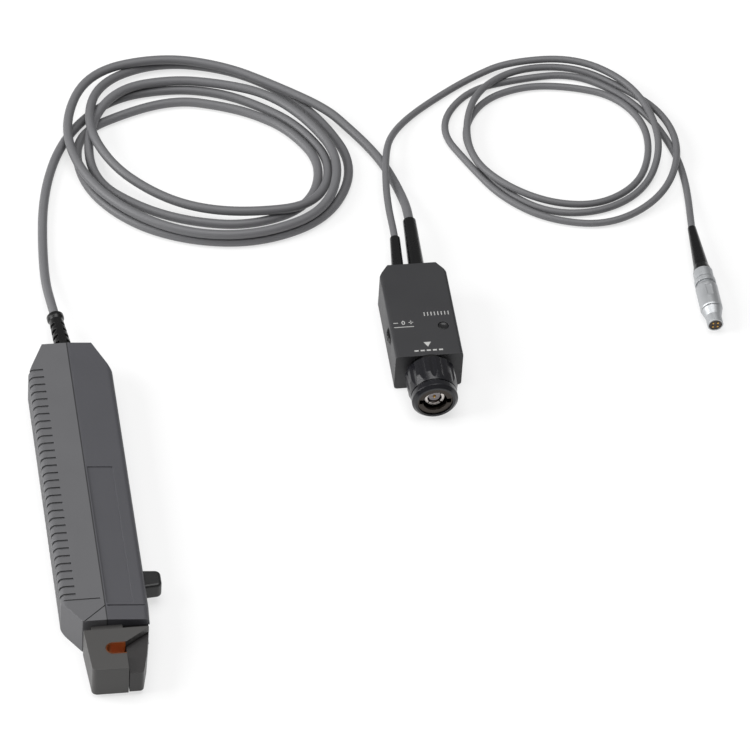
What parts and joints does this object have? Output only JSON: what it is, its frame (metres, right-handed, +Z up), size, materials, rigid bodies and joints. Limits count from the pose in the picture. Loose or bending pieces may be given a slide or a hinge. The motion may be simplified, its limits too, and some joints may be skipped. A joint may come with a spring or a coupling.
{
  "type": "oscilloscope current probe",
  "caption": "Clamp-on current probe: flat sensor head with a sliding jaw, a coiled cable to a box with a bayonet plug, and a coiled power cable with a round plug.",
  "frame": {"origin": "middle of the sensor head's length on its flat underside, at the head's parting plane", "axes": "+Z up from the table, +Y along the head from the jaw towards the cable exits, +X from the head towards the termination box"},
  "size_m": [0.2897, 0.358, 0.0203],
  "materials": {
    "shell_grey": "fine moulded texture",
    "shell_slate": "fine moulded texture, darker",
    "jaw_plastic": "smooth moulded",
    "slider_plastic": "smooth moulded",
    "black_plastic": "smooth moulded",
    "button_black": "smooth moulded",
    "black_rubber": "soft satin",
    "box_grey": "fine moulded texture",
    "grip_plastic": "fluted, semi-gloss",
    "cable_grey": "smooth PVC jacket",
    "copper": "bare copper sheet",
    "nickel": "nickel plated",
    "satin_chrome": "satin chrome plated",
    "gold": "gold plated",
    "steel": "zinc plated screw",
    "ferrite": "sintered ferrite",
    "winding_wire": "enamelled copper wire",
    "chip_epoxy": "moulded epoxy",
    "board_green": "glass-fibre circuit board",
    "pot_blue": "moulded trimmer case",
    "white_ptfe": "fluoropolymer insulator",
    "insert_brown": "moulded contact insulator"
  },
  "bodies": {
    "probe_body": {"left_shell": "shell_grey", "right_shell": "shell_slate", "head_screws": "steel", "jaw_block": "jaw_plastic", "aperture_liner": "copper", "fixed_core": "ferrite", "sensor_chip": "chip_epoxy", "pickup_winding": "winding_wire", "head_board": "board_green", "strain_relief": "black_rubber", "box_top_shell": "box_grey", "box_bottom_shell": "box_grey", "box_screws": "steel", "box_board": "board_green", "demag_switch": "chip_epoxy", "zero_potentiometer": "pot_blue", "sensor_boot": "black_rubber", "power_boot": "black_rubber", "bnc_body": "nickel", "bnc_nut": "nickel", "bnc_dielectric": "white_ptfe", "bnc_pin": "gold", "plug_body": "satin_chrome", "plug_back_nut": "satin_chrome", "plug_insert": "insert_brown", "plug_pins": "gold", "plug_boot": "black_rubber", "sensor_lead": "cable_grey", "sensor_tail": "cable_grey", "power_lead": "cable_grey", "power_tail": "cable_grey", "sensor_coil": "cable_grey", "power_coil": "cable_grey"},
    "jaw_slider": {"slider": "slider_plastic", "moving_core": "ferrite", "lever_knob": "black_plastic"},
    "demag_key": {"demag_button": "button_black"},
    "zero_adjuster": {"zero_wheel": "black_plastic"},
    "bnc_ring": {"bnc_bayonet": "nickel", "bnc_grip": "grip_plastic"},
    "release_sleeve": {"plug_sleeve": "satin_chrome"}
  },
  "joints": [
    {"name": "jaw_slide", "type": "slide", "parent": "probe_body", "child": "jaw_slider", "axis": [0, 1, 0], "range_m": [0, 0.0105]},
    {"name": "demag_press", "type": "slide", "parent": "probe_body", "child": "demag_key", "axis": [0, 0, -1], "range_m": [0, 0.0008], "stiffness_N_per_m": 800, "springref_m": -0.0005},
    {"name": "zero_turn", "type": "hinge", "parent": "probe_body", "child": "zero_adjuster", "pos_m": [0.1358, 0.0839, 0.0115], "axis": [0, 0, 1], "range_deg": [-135, 135]},
    {"name": "bnc_ring_turn", "type": "hinge", "parent": "probe_body", "child": "bnc_ring", "pos_m": [0.1451, 0.058, 0.01025], "axis": [0, 1, 0], "continuous": true},
    {"name": "sleeve_pull", "type": "slide", "parent": "probe_body", "child": "release_sleeve", "axis": [0, 1, 0], "range_m": [0, 0.001], "stiffness_N_per_m": 1000, "springref_m": -0.0005}
  ]
}
